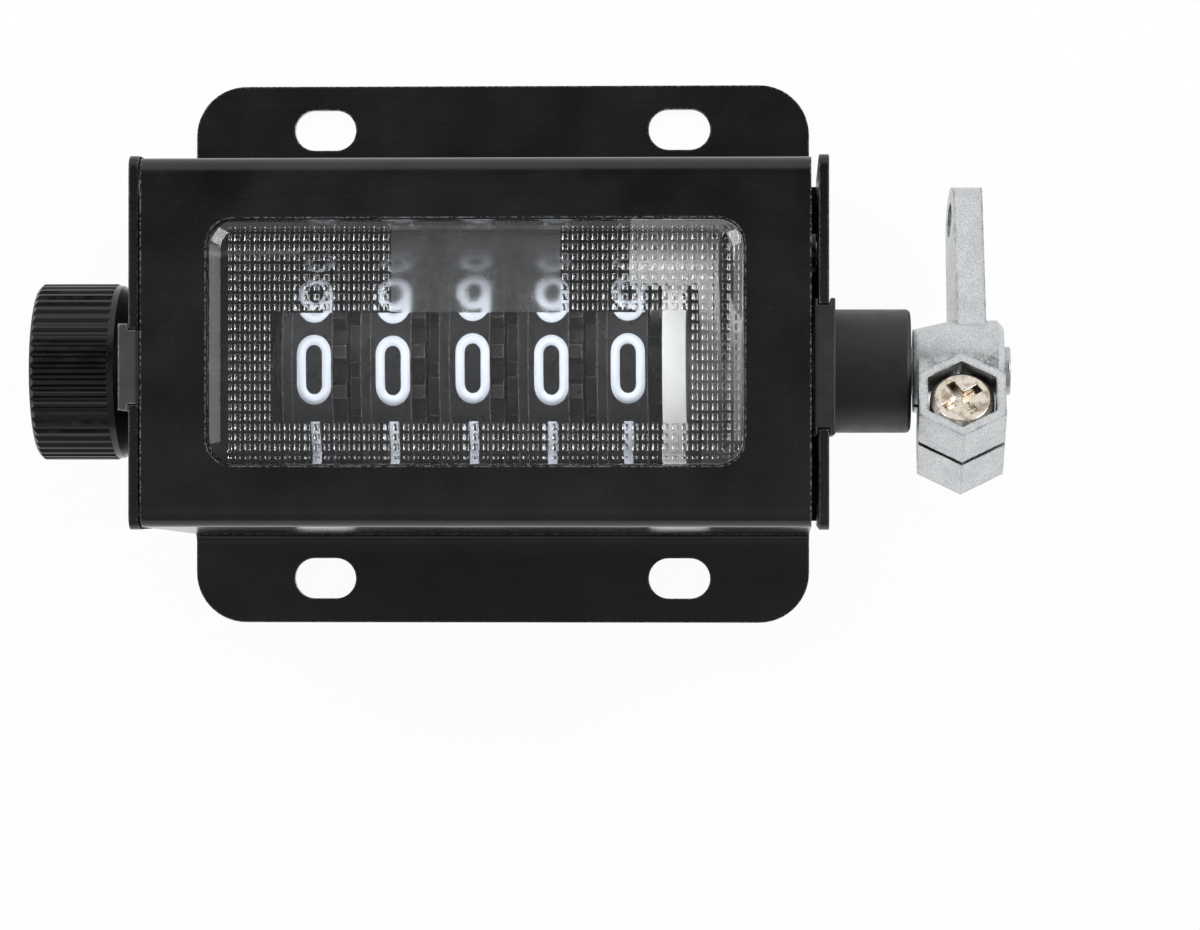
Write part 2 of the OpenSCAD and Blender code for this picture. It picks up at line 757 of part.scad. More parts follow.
// Drum, web and hub of one wheel; place counts from the units drum to the left
module number_wheel(place) {
    mid_x = units_x - place * wheel_pitch;
    left_x = mid_x - drum_w / 2;
    right_x = mid_x + drum_w / 2;
    carries = place < last_wheel;
    side_w = place == 0 ? ratchet_w : gear_w;
    hub_x = left_x - carry_w;
    color([0.06, 0.06, 0.065])
    difference() {
        union() {
            along_shaft(left_x, drum_w) ring_section(wheel_r - shoulder_drop, wheel_r - drum_wall);
            along_shaft(left_x + shoulder_w, drum_w - shoulder_w) ring_section(wheel_r, wheel_r - drum_wall);
            along_shaft(right_x - web_t, web_t) circle(wheel_r - drum_wall / 2);
            along_shaft(hub_x, right_x - hub_x + side_w) circle(hub_r);
            if (carries) difference() {
                along_shaft(hub_x, right_x - web_t / 2 - hub_x) ring_section(carry_r, carry_r - carry_wall);
                carry_spaces(hub_x);
            }
            if (place == 0)
                along_shaft(right_x - eps, ratchet_w + eps) ratchet_outline();
            else
                along_shaft(right_x - eps, gear_w + eps)
                    rotate(-pinion_angle + 180 / gear_teeth)
                        gear_outline(gear_teeth, gear_tip_r, gear_root_r);
        }
        along_shaft(hub_x - 1, wheel_pitch + 2) circle(wheel_bore_r);
    }
}

module units_wheel() { number_wheel(0); }
module tens_wheel() { number_wheel(1); }
module hundreds_wheel() { number_wheel(2); }
module thousands_wheel() { number_wheel(3); }
module ten_thousands_wheel() { number_wheel(4); }

// Pinion on the right of the wheel that it turns
module carry_pinion(place) {
    start_x = units_x - place * wheel_pitch + drum_w / 2 + pinion_side_gap;
    color([0.85, 0.85, 0.82])
    along_pinion(start_x, pinion_len) difference() {
        rotate(180 - pinion_angle) gear_outline(pinion_teeth, pinion_tip_r, pinion_root_r);
        circle(pinion_shaft_r + run_gap);
    }
}

module tens_pinion() { carry_pinion(1); }
module hundreds_pinion() { carry_pinion(2); }
module thousands_pinion() { carry_pinion(3); }
module ten_thousands_pinion() { carry_pinion(4); }

module drive_shaft() {
    color([0.72, 0.72, 0.74])
    difference() {
        along_shaft(drive_start_x, drive_end_x - drive_start_x) circle(drive_shaft_r);
        ring_groove(drive_clip_x, drive_shaft_r);
    }
}

module drive_clip() {
    retaining_ring(drive_clip_x, drive_shaft_r);
}

// Part of a ring between two radii, centred on angle 0
module ring_sector(inner_r, outer_r, arc) {
    reach = outer_r / cos(arc / 2) + 1;
    intersection() {
        ring_section(outer_r, inner_r);
        polygon([[0, 0], reach * [cos(arc / 2), -sin(arc / 2)], reach * [cos(arc / 2), sin(arc / 2)]]);
    }
}

module pawl_carrier() {
    bar_x = ratchet_x - bar_reach;
    pin_reach = seat_gap + eps;
    bar_end_x = arm_plate_x + arm_plate_t;
    hub_x = disc_x;
    color([0.88, 0.88, 0.86])
    difference() {
        union() {
            along_shaft(disc_x, disc_t) circle(disc_r);
            along_shaft(hub_x, carrier_hub_end_x - hub_x) circle(hub_r);
            along_shaft(arm_plate_x, arm_plate_t) rotate(bar_angle)
                translate([-arm_tail, -arm_plate_w / 2]) square([arm_tail + bar_in_r + 1, arm_plate_w]);
            along_shaft(bar_x, bar_end_x - bar_x) rotate(bar_angle)
                ring_sector(bar_in_r, bar_out_r, bar_arc * 2);
            along_shaft(pawl_x - pin_reach, disc_x - pawl_x + 2 * pin_reach) rotate(pawl_angle)
                translate([pawl_pin_dist, 0]) circle(pawl_pin_r);
        }
        along_shaft(hub_x - 1, reset_end_x - hub_x + 1 + shaft_end_gap / 2) circle(reset_shaft_r + run_gap);
        along_shaft(drive_start_x - shaft_end_gap / 2, carrier_hub_end_x - drive_start_x + 1)
            circle(drive_shaft_r + clamp_gap);
    }
}

module feed_pawl() {
    reach = pawl_pin_dist - ratchet_r - tip_gap;
    eye = 2 * pawl_pin_r;
    color([0.7, 0.7, 0.72])
    along_shaft(pawl_x, pawl_t) rotate(pawl_angle) translate([pawl_pin_dist, 0]) difference() {
        union() {
            circle(eye);
            polygon([
                [eye, 0], [0, -eye], [-reach, -pawl_len], [-reach / 2, -pawl_len - leaf_t],
                [pawl_pin_r, eye - pawl_len]
            ]);
        }
        circle(pawl_pin_r + run_gap);
    }
}

// Centre line of the return spring: coils round the shaft, then one leg at each end
spring_steps = 18;
spring_len = drive_clip_x - 1 - spring_start_x - spring_wire;
function spring_point(i) =
    let (a = i * 360 / spring_steps, n = spring_turns * spring_steps)
        [spring_start_x + spring_wire + i / n * (spring_len - spring_wire),
         axis_y + spring_r * cos(a), axis_z + spring_r * sin(a)];

// Round tube along the coil, with its ring planes through the shaft axis
module return_spring() {
    sides = 8;
    n = spring_turns * spring_steps;
    points = [
        for (i = [0 : n], k = [0 : sides - 1])
            let (
                a = i * 360 / spring_steps, b = k * 360 / sides, p = spring_point(i),
                r = spring_r + spring_wire / 2 * cos(b)
            )
                [p[0] + spring_wire / 2 * sin(b), axis_y + r * cos(a), axis_z + r * sin(a)]
    ];
    faces = concat(
        [[for (k = [0 : sides - 1]) k]],
        [
            for (i = [0 : n - 1], k = [0 : sides - 1])
                let (m = (k + 1) % sides)
                    [i * sides + m, i * sides + k, (i + 1) * sides + k, (i + 1) * sides + m]
        ],
        [[for (k = [sides - 1 : -1 : 0]) n * sides + k]]
    );
    color([0.62, 0.62, 0.64])
    polyhedron(points = points, faces = faces);
}

// Lever's own frame: Y along the arm, Z along the clamp screw
module lever_place() {
    translate([0, axis_y, axis_z]) rotate([-lever_tilt, 0, 0]) children();
}

module hexagon(r) {
    rotate(90) circle(r, $fn = 6);
}

module lever_arm() {
    front_x = lever_x + arm_offset;
    reach = eye_dist + tip_r + 1;
    intersection() {
        translate([lever_x, 0, 0]) rotate([90, 0, 90]) linear_extrude(lever_hub_len) {
            polygon([[0, -arm_half_w], [eye_dist, -tip_r], [eye_dist, tip_r], [0, arm_half_w]]);
            translate([eye_dist, 0]) circle(tip_r);
        }
        translate([0, reach, 0]) rotate([90, 0, 0]) linear_extrude(reach) polygon([
            [front_x, arm_half_w], [front_x + arm_t, arm_half_w],
            [front_x + arm_t + arm_draft / 4, -arm_half_w], [front_x - arm_draft, -arm_half_w]
        ]);
    }
}

module lever_hub() {
    shoulder = lever_taper_len;
    hub_bevel = (lever_hub_r - lever_end_r) * 0.7;
    rotate([90, 0, 90]) translate([0, 0, lever_x]) rotate_extrude() polygon([
        [0, 0], [lever_end_r, 0], [lever_hub_r, shoulder], [lever_hub_r, lever_hub_len - hub_bevel],
        [lever_hub_r - hub_bevel, lever_hub_len], [0, lever_hub_len]
    ]);
}

module lever() {
    block_top = lever_end_r - seat_gap;
    block_w = clamp_w - seat_gap;
    color([0.72, 0.73, 0.74])
    lever_place() difference() {
        union() {
            lever_hub();
            lever_arm();
            translate([lever_mid_x, -clamp_offset, -clamp_rear])
                linear_extrude(clamp_h) hexagon(hex_r);
            translate([lever_end_x - block_w, -clamp_offset, -clamp_rear])
                cube([block_w, clamp_offset, clamp_rear + block_top]);
        }
        rotate([90, 0, 90]) translate([0, 0, lever_x - 1])
            linear_extrude(lever_hub_len + 2) circle(drive_shaft_r + clamp_gap);
        translate([lever_x - 1, -clamp_offset - hex_r - 1, -split_w / 2])
            cube([lever_hub_len + 2, clamp_offset + hex_r + 1, split_w]);
        translate([lever_mid_x, -clamp_offset, socket_z])
            linear_extrude(socket_depth + 1) hexagon(socket_r);
        translate([lever_mid_x, -clamp_offset, -clamp_rear - 1])
            linear_extrude(clamp_h) circle(screw_r + screw_gap);
        translate([lever_x, eye_dist, 0]) rotate([90, 0, 90])
            linear_extrude(lever_hub_len) circle(eye_r);
    }
}

module lever_screw() {
    head_side_h = screw_head_h - screw_chamfer;
    color([0.66, 0.6, 0.52])
    lever_place() translate([lever_mid_x, -clamp_offset, socket_z]) difference() {
        union() {
            translate([0, 0, seat_gap / 2]) cylinder(h = head_side_h, r = screw_head_r);
            translate([0, 0, seat_gap / 2 + head_side_h])
                cylinder(h = screw_chamfer, r1 = screw_head_r, r2 = screw_head_r - screw_chamfer);
            translate([0, 0, -socket_z - clamp_rear + screw_chamfer])
                cylinder(h = socket_z + clamp_rear, r = screw_r);
        }
        for (a = [35, 125])
            rotate(a) translate([-driver_len / 2, -driver_w / 2, screw_head_h - driver_depth + seat_gap / 2])
                cube([driver_len, driver_w, driver_depth + 1]);
    }
}

cover();
lens();
frame();
left_bush();
right_bush();
pinion_shaft();
pinion_shaft_clips();
detent_spring();
reset_knob();
reset_shaft();
reset_clip();
spacer_sleeve();
units_wheel();
tens_wheel();
hundreds_wheel();
thousands_wheel();
ten_thousands_wheel();
tens_pinion();
hundreds_pinion();
thousands_pinion();
ten_thousands_pinion();
drive_shaft();
drive_clip();
pawl_carrier();
feed_pawl();
return_spring();
lever();
lever_screw();
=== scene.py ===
# Looks of a five digit stroke counter: enamelled cover, textured window, printed number
# wheels, fluted reset knob and die-cast lever, on a white table.
import json
import math

import bmesh
import bpy
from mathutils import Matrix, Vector


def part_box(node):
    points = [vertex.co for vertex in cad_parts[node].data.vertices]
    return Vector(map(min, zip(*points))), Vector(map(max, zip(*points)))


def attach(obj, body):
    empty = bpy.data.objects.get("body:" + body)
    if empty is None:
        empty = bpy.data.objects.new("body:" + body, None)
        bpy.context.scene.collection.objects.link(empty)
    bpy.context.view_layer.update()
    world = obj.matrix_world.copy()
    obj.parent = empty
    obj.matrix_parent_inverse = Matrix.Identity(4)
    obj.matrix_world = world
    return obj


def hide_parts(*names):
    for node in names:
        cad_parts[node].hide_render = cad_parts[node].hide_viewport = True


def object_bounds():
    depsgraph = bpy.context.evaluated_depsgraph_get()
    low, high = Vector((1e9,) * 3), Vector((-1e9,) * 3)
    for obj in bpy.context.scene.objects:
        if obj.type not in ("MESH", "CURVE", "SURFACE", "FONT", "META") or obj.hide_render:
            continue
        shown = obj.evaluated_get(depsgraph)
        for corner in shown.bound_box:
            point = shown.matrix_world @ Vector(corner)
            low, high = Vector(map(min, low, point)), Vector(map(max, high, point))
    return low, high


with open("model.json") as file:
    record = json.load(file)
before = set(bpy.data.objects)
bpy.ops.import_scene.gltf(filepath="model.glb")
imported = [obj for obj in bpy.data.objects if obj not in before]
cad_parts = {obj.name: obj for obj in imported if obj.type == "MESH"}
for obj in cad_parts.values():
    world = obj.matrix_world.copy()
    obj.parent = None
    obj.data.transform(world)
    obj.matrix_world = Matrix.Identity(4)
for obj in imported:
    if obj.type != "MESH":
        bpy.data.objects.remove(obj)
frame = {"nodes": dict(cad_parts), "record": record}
cad_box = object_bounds()
body_of = {
    member: body
    for body, members in frame["record"]["behaviour"]["bodies"].items()
    for member in members
}

MM = 0.001  # every size below is in millimetres and is scaled by this
CLOSE = 0.001  # millimetres within which two places count as one

# Camera: where it stands, how many degrees it leans from straight down about X and Y,
# its focal length and the width of its sensor
CAMERA_AT = (29.44, -13.34, 482.15)
CAMERA_LEAN = (0.211, 2.288)
CAMERA_LENS = 138.5
CAMERA_SENSOR = 36

# Front of the window: the boss fills the cover's opening, the rim lies behind the cover
LENS_BOSS_R = 2.45
LENS_BEVEL = (  # inset along X, inset along Y and drop, from the flat front outwards
    (1.4, 1.06, 0.0),
    (1.3, 0.97, 0.015),
    (0.16, 0.16, 0.47),
    (0.05, 0.05, 0.53),
    (0.0, 0.0, 0.64),
)
BEVEL_CORNER = 0.6  # share of the inset that the bevel's corners lose in radius
LENS_RIM = 2.15  # how far the rim reaches beyond the boss
LENS_RIM_TOP = 42.85
LENS_RIM_R = 3.0
LENS_RIM_CHAMFER = 0.2

# Back of the window: a grid of beads that stand down from the field, cut short at the border
FIELD_Z = 41.15
CELL = 0.95  # pitch of the beads
BEAD_HALF = (0.295, 0.33)  # half width and half height of a bead at its foot
BEAD_STEPS = (  # how far a bead draws in along X and Y, and its drop from the field
    (0.0, 0.0, 0.0),
    (0.02, 0.004, 0.03),
    (0.05, 0.008, 0.08),
    (0.08, 0.014, 0.12),
    (0.12, 0.03, 0.142),
)
BEAD_R = 0.05
BEAD_CORNER_POINTS = 3
GRID_LEFT = -23.275  # where the first whole column starts
GRID_LOW = -10.425  # where the first whole row starts
WHOLE_COLUMNS = 50
WHOLE_ROWS = 22
CUT_LEFT = 0.5  # share that is left of the cells along each border
CUT_RIGHT = 0.7
CUT_LOW = 0.38
CUT_HIGH = 0.3
READER_COLUMNS = range(5, 47)  # cells that the magnifying strip takes
READER_ROWS = range(4, 15)
LABEL_COLUMNS = range(17, 34)  # cells that the plain label panel takes
LABEL_ROWS = range(15, 24)
STRIP_R = 29.0  # curve of the magnifying strip
STRIP_BOW = 0.95  # how far its ends bow out
STRIP_STEPS = 32
STRIP_INSET = 0.05  # between the strip and the cells round it

# Number wheels and the figures on them
SHAFT_Y = -2.35
SHAFT_Z = 24.0
WHEEL_R = 11.3
WHEELS = {  # centre of the digits along the shaft, and the play of each wheel in degrees
    "units": (14.25, 0.2),
    "tens": (6.90, -0.5),
    "hundreds": (-0.67, 0.3),
    "thousands": (-8.36, -0.6),
    "ten_thousands": (-15.96, 0.0),
}
DIGIT_STEP = 36  # degrees from digit to digit
DIGIT_STROKE = 0.86
DIGIT_HALF_W = 1.21  # to the middle of the stroke
DIGIT_HALF_H = 2.58
DIGIT_BOWL = 1.22  # half height of the small upper bowls
DIGIT_RING = 1.68  # half height of the round part of a nine
DIGIT_UP = 0.03  # print above the drum
DIGIT_IN = 0.05  # print below the drum's surface
DIGIT_LAYER = 0.004  # from one stroke to another that crosses it
DIGIT_CUT = 0.3  # longest straight stretch of a stroke round the drum
DIGIT_MITRE = 0.45  # smallest cosine that widens a stroke at a bend, so that no corner shoots out

# Rounded edges of the CAD shapes
WHEEL_EDGE = 0.12
PINION_EDGE = 0.06
EDGES = {
    "cover": 0.12,
    "frame": 0.12,
    "left_bush": 0.15,
    "right_bush": 0.15,
    "reset_knob": 0.10,
    "spacer_sleeve": 0.15,
    **{wheel + "_wheel": WHEEL_EDGE for wheel in WHEELS},
    "pawl_carrier": 0.15,
    "drive_shaft": 0.15,
    "lever": 0.28,
    "lever_screw": 0.08,
}
EDGE_STEPS = 2
SHARP_ANGLE = 28  # degrees from which an edge is rounded, and below which it is shaded smooth
LENS_SHARP_ANGLE = 40
FLAT_ANGLE = 0.3  # degrees below which faces are joined into one

# Painted shade: black laid over the grey plastic from this X inwards, where it lies in shade
PAINTED_SHADE_FROM = -32.52
PAINTED_SHADE_EDGE = 0.05  # how wide the film's edge is
PAINTED_SHADE_COVER = 0.9

# Tent of light: edges are stretches along Z of the direction that light comes from, sides
# are stretches along its Y, and strengths are those at a stretch's two ends
ROOF_EDGE = (0.60, 0.86)
HORIZON_EDGE = (0.06, 0.22)
WALL_SIDES = (-0.7, 0.3)
WALL_STRENGTHS = (0.32, 1.0)
ROOF_SIDES = (-0.22, 0.22)
ROOF_STRENGTHS = (0.42, 0.08)

# Table and lamps
TABLE_SIZE = 6000
TABLE_GAP = 0.02  # below the counter
TABLE_GLOW = 0.95  # share of plain white in the colour that the table shows
LAMP_AIM = (5, 0, 25)
LAMPS = {  # place, width and height, and watts
    "left_softbox": ((-290, 170, 390), (220, 170), 0.98),
    "right_softbox": ((320, 165, 390), (220, 170), 1.10),
    "left_strip": ((-455, -5, 390), (170, 280), 0.34),
    "right_strip": ((420, 0, 390), (120, 240), 0.20),
}


def srgb(red, green, blue):
    """A linear colour from the 0 to 255 values that it shows as."""
    def linear(v):
        v /= 255
        return v / 12.92 if v <= 0.04045 else ((v + 0.055) / 1.055) ** 2.4

    return (linear(red), linear(green), linear(blue), 1.0)


BLACK = srgb(9, 9, 10)
ENAMEL_DUST = srgb(88, 88, 90)
# lighter colours on sharp edges: partly wear, partly painted highlight
ENAMEL_WEAR_AND_HIGHLIGHT = srgb(150, 150, 148)
PLASTIC_WEAR_AND_HIGHLIGHT = srgb(142, 143, 145)
PLASTIC_SCUFF = srgb(120, 120, 120)
ZINC = srgb(206, 209, 211)
ZINC_BRIGHT = srgb(222, 224, 225)
ZINC_MOTTLE = srgb(160, 163, 166)
ZINC_PIT = srgb(98, 100, 102)
ZINC_LINE = srgb(92, 94, 97)
# grime and painted shade in the zinc's corners
ZINC_GRIME_AND_SHADE = srgb(84, 85, 87)
NICKEL = srgb(226, 218, 206)
NICKEL_STAIN = srgb(164, 146, 124)
BROWN_GREASE = srgb(66, 52, 42)
PRINT = srgb(233, 239, 250)
PRINT_THIN = srgb(184, 189, 199)
WATER_CLEAR = srgb(246, 247, 248)
TABLE_PALE = (0.86, 0.86, 0.86, 1.0)


class Look:
    """A procedural material: a Principled shader and what drives it, in object space."""

    def __init__(self, name, sockets=None):
        self.material = bpy.data.materials.new(name)
        self.material.use_nodes = True
        self.nodes = self.material.node_tree.nodes
        self.links = self.material.node_tree.links
        self.shader = self.nodes["Principled BSDF"]
        self.out = self.nodes["Material Output"]
        self.place = self.nodes.new("ShaderNodeTexCoord").outputs["Object"]
        for socket, value in (sockets or {}).items():
            self.shader.inputs[socket].default_value = value

    def wire(self, kind, plugs, **settings):
        """A new node with its inputs linked or set, and its settings."""
        made = self.nodes.new(kind)
        for key, value in settings.items():
            setattr(made, key, value)
        for key, value in plugs.items():
            if isinstance(value, bpy.types.NodeSocket):
                self.links.new(value, made.inputs[key])
            else:
                made.inputs[key].default_value = value
        return made

    def stretched(self, x, y, z):
        """Object space scaled along its axes, for brushed and turned finishes."""
        return self.wire("ShaderNodeMapping", {"Vector": self.place, "Scale": (x, y, z)}).outputs[0]

    def noise(self, size, detail=2.0, rough=0.5, place=None):
        """Noise whose lumps are about size millimetres."""
        plugs = {"Vector": place or self.place, "Scale": 1 / (size * MM)}
        plugs |= {"Detail": detail, "Roughness": rough}
        return self.wire("ShaderNodeTexNoise", plugs).outputs["Fac"]

    def specks(self, size, share):
        """1 on a few random dots of about size millimetres, 0 elsewhere."""
        cells = self.wire("ShaderNodeTexVoronoi", {"Vector": self.place, "Scale": 1 / (size * 4 * MM)})
        near = self.remap(cells.outputs["Distance"], 0.16, 0.08, 0.0, 1.0)
        split = self.wire("ShaderNodeSeparateColor", {"Color": cells.outputs["Color"]})
        chosen = self.remap(split.outputs[0], 1 - share, 1 - share * 0.8, 0.0, 1.0)
        return self.maths("MULTIPLY", near, chosen)

    def remap(self, value, low, high, to_low, to_high):
        """The value moved from one range to another, and held inside it."""
        return self.wire(
            "ShaderNodeMapRange",
            {"Value": value, "From Min": low, "From Max": high, "To Min": to_low, "To Max": to_high},
        ).outputs[0]

    def maths(self, kind, a, b):
        return self.wire("ShaderNodeMath", {0: a, 1: b}, operation=kind).outputs[0]

    def blend(self, share, first, second):
        """A colour between first and second."""
        made = self.wire("ShaderNodeMix", {0: share}, data_type="RGBA")
        for plug, value in ((made.inputs[6], first), (made.inputs[7], second)):
            if isinstance(value, bpy.types.NodeSocket):
                self.links.new(value, plug)
            else:
                plug.default_value = value
        return made.outputs[2]

    def corners(self, reach, inside, start, full):
        """1 in narrow corners, or on sharp edges where inside is True, within reach millimetres.

        It is 0 where at least start of the surroundings is open and 1 where full or less is.
        """
        plugs = {"Distance": reach * MM}
        made = self.wire("ShaderNodeAmbientOcclusion", plugs, inside=inside, samples=6)
        return self.remap(made.outputs["AO"], start, full, 0.0, 1.0)

    def edge_marks(self, reach, low, high, size=0.3):
        """Broken marks along sharp edges within reach millimetres; low to high is its share."""
        spots = self.remap(self.noise(size, 3, 0.7), 0.46, 0.58, low, high)
        return self.maths("MULTIPLY", self.corners(reach, True, 0.9, 0.5), spots)

    def colour(self, source):
        self.links.new(source, self.shader.inputs["Base Color"])

    def rough(self, source):
        self.links.new(source, self.shader.inputs["Roughness"])

    def bump(self, *layers):
        """Relief from pairs of height and depth in millimetres, one on another."""
        normal = None
        for height, depth in layers:
            plugs = {"Height": height, "Distance": depth * MM, "Strength": 1.0}
            if normal is not None:
                plugs["Normal"] = normal
            normal = self.wire("ShaderNodeBump", plugs).outputs[0]
        self.links.new(normal, self.shader.inputs["Normal"])
        return self


def enamel(name, dark, light, shine):
    """Gloss baked enamel over steel: slight orange peel, faint smears, dust and lighter edges,
    partly wear and partly painted highlight.
    """
    look = Look(name)
    smear = look.noise(9, 3, 0.6)
    drag = look.noise(0.35, 2, 0.5, look.stretched(0.03, 1, 1))
    dust = look.specks(0.045, 0.05)
    tone = look.blend(look.remap(smear, 0.3, 0.7, 0, 1), dark, light)
    tone = look.blend(dust, tone, ENAMEL_DUST)
    # lighter sharp edges on the enamel: partly wear, partly painted highlight
    look.colour(look.blend(look.edge_marks(0.2, 0.0, 0.8), tone, ENAMEL_WEAR_AND_HIGHLIGHT))
    fine = look.remap(drag, 0.3, 0.7, -0.03, 0.04)
    base = look.remap(smear, 0.3, 0.7, shine, shine + 0.09)
    look.rough(look.maths("ADD", base, look.maths("ADD", fine, look.maths("MULTIPLY", dust, 0.4))))
    return look.bump((look.noise(1.1, 1), 0.010), (drag, 0.0015), (look.noise(0.16, 2), 0.0012))


def moulded(name, dark, light, shine, grain=0.18, edge=0.0, worn=1.0, shade_from=None):
    """Injection moulded plastic: a fine spark-eroded grain, flow marks and dust.

    Where edge is given, its edges are lighter within edge millimetres, partly from wear and partly
    as painted highlight, as strongly as the edge strength says; where an X is given, black painted
    shade lies on it from that X on.
    """
    look = Look(name)
    flow = look.noise(5, 3, 0.55)
    scuff = look.specks(0.07, 0.06)
    tone = look.blend(look.remap(flow, 0.32, 0.68, 0, 1), dark, light)
    if edge:
        # lighter sharp edges: partly wear, partly painted highlight
        tone = look.blend(look.edge_marks(edge, worn * 0.3, worn), tone, PLASTIC_WEAR_AND_HIGHLIGHT)
    # painted shade: black laid over the grey plastic from a given X inwards
    if shade_from is not None:
        across = look.wire("ShaderNodeSeparateXYZ", {0: look.place}).outputs[0]
        film = look.remap(across, shade_from * MM, (shade_from + PAINTED_SHADE_EDGE) * MM, 0.0, PAINTED_SHADE_COVER)
        tone = look.blend(film, tone, BLACK)
    look.colour(look.blend(look.maths("MULTIPLY", scuff, 0.5), tone, PLASTIC_SCUFF))
    look.rough(look.remap(look.noise(1.6, 3), 0.3, 0.7, shine - 0.05, shine + 0.07))
    return look.bump((look.noise(grain, 2), 0.004))


def cast_zinc(name):
    """Raw die-cast zinc: a mottled chilled skin, fine pits, dark edge lines, and grime with painted
    shade in its corners.
    """
    look = Look(name, {"Metallic": 1.0})
    flow = look.noise(2.4, 2, 0.5)
    mottle = look.noise(0.17, 4, 0.7)
    pits = look.specks(0.06, 0.35)
    tone = look.blend(look.remap(flow, 0.35, 0.68, 0, 1), ZINC, ZINC_BRIGHT)
    tone = look.blend(look.remap(mottle, 0.44, 0.64, 0, 0.75), tone, ZINC_MOTTLE)
    tone = look.blend(look.maths("MULTIPLY", pits, 0.7), tone, ZINC_PIT)
    tone = look.blend(look.edge_marks(0.34, 0.25, 0.85, 1.4), tone, ZINC_LINE)
    broken = look.remap(mottle, 0.3, 0.6, 0.5, 0.9)
    # painted shade: darker where ambient occlusion finds a corner, broken up, partly grime
    grime_and_shade = look.maths("MULTIPLY", look.corners(0.45, False, 0.6, 0.2), broken)
    look.colour(look.blend(grime_and_shade, tone, ZINC_GRIME_AND_SHADE))
    look.rough(look.remap(look.noise(0.5, 3, 0.6), 0.3, 0.7, 0.26, 0.42))
    return look.bump((look.noise(1.6, 2), 0.014), (look.noise(0.12, 3), 0.007), (pits, -0.015))


def turned_steel(name, colour, shine):
    """Steel with fine rings from turning along the shaft."""
    look = Look(name, {"Metallic": 1.0})
    rings = look.noise(0.12, 2, 0.5, look.stretched(1, 0.02, 0.02))
    stain = look.noise(3, 3, 0.6)
    stained = tuple(v * 0.55 for v in colour[:3]) + (1.0,)
    look.colour(look.blend(look.remap(stain, 0.4, 0.7, 0, 0.6), colour, stained))
    look.rough(look.remap(rings, 0.3, 0.7, shine - 0.05, shine + 0.1))
    return look.bump((rings, 0.006))


def worn_nickel(name):
    """Nickel plate with handling marks and brown grease in its low places."""
    look = Look(name, {"Metallic": 1.0})
    blotch = look.noise(0.8, 4, 0.65)
    scratch = look.noise(0.10, 3, 0.6, look.stretched(1, 0.1, 0.6))
    tone = look.blend(look.remap(blotch, 0.46, 0.66, 0, 1), NICKEL, NICKEL_STAIN)
    grease = look.corners(0.9, False, 0.72, 0.30)
    look.colour(look.blend(grease, tone, BROWN_GREASE))
    look.rough(look.remap(blotch, 0.35, 0.7, 0.18, 0.42))
    return look.bump((scratch, 0.006), (look.noise(0.5, 2), 0.02))


def printed_white(name):
    """Hot-stamped white foil with slightly uneven cover."""
    look = Look(name)
    thin = look.remap(look.noise(0.35, 3, 0.6), 0.62, 0.78, 0, 0.2)
    look.colour(look.blend(thin, PRINT, PRINT_THIN))
    look.rough(look.remap(look.noise(0.9, 2), 0.3, 0.7, 0.38, 0.55))
    return look.bump((look.noise(0.2, 2), 0.004))


def clear_plastic(name, haze, depth, clear, streaks):
    """Clear acrylic; lamps shine through it onto what is behind.

    haze is its roughness, depth and streaks are the heights of its relief, and clear is how
    much light passes.
    """
    look = Look(name, {"Transmission Weight": clear, "IOR": 1.49, "Base Color": WATER_CLEAR})
    look.rough(look.remap(look.noise(1.8, 3, 0.6), 0.35, 0.7, haze, haze * 1.5 + 0.01))
    drag = look.noise(0.30, 3, 0.6, look.stretched(0.12, 1, 1))
    look.bump((look.noise(0.9, 2), depth), (look.noise(0.16, 2), depth * 0.4), (drag, streaks))
    path = look.nodes.new("ShaderNodeLightPath")
    through = look.wire("ShaderNodeBsdfTransparent", {"Color": WATER_CLEAR})
    mix = look.wire(
        "ShaderNodeMixShader",
        {0: path.outputs["Is Shadow Ray"], 1: look.shader.outputs[0], 2: through.outputs[0]},
    )
    look.links.new(mix.outputs[0], look.out.inputs["Surface"])
    return look


LOOKS = {
    "cover_black": enamel("cover_enamel", BLACK, srgb(24, 24, 25), 0.13),
    "frame_black": enamel("frame_enamel", BLACK, srgb(20, 20, 21), 0.17),
    "grey_plastic": moulded(
        "grey_moulding", srgb(40, 41, 44), srgb(52, 53, 56), 0.42, edge=0.22, shade_from=PAINTED_SHADE_FROM
    ),
    "bush_black": moulded("bush_moulding", srgb(24, 24, 25), srgb(32, 32, 33), 0.42),
    "knob_black": moulded(
        "knob_moulding", srgb(5, 5, 6), srgb(10, 10, 11), 0.20, grain=0.14, edge=0.10, worn=0.22
    ),
    "wheel_black": moulded("wheel_moulding", srgb(20, 20, 22), srgb(29, 29, 31), 0.28, edge=0.14),
    "white_plastic": moulded("white_moulding", srgb(232, 231, 228), srgb(242, 242, 240), 0.40),
    "steel": turned_steel("turned_steel", srgb(196, 197, 199), 0.28),
    "spring_steel": turned_steel("spring_steel", srgb(96, 97, 99), 0.34),
    "die_cast_zinc": cast_zinc("cast_zinc"),
    "screw_nickel": worn_nickel("worn_nickel"),
    "digit_white": printed_white("printed_white"),
    "clear_plastic": clear_plastic("clear_lens", haze=0.012, depth=0.0012, clear=0.995, streaks=0.0),
}
HAZED = clear_plastic("hazed_lens", haze=0.19, depth=0.003, clear=0.955, streaks=0.012)


def slot_of(node):
    """The record's material slot of a CAD node."""
    return frame["nodes"][node].data.materials[0].name.split(".")[0]


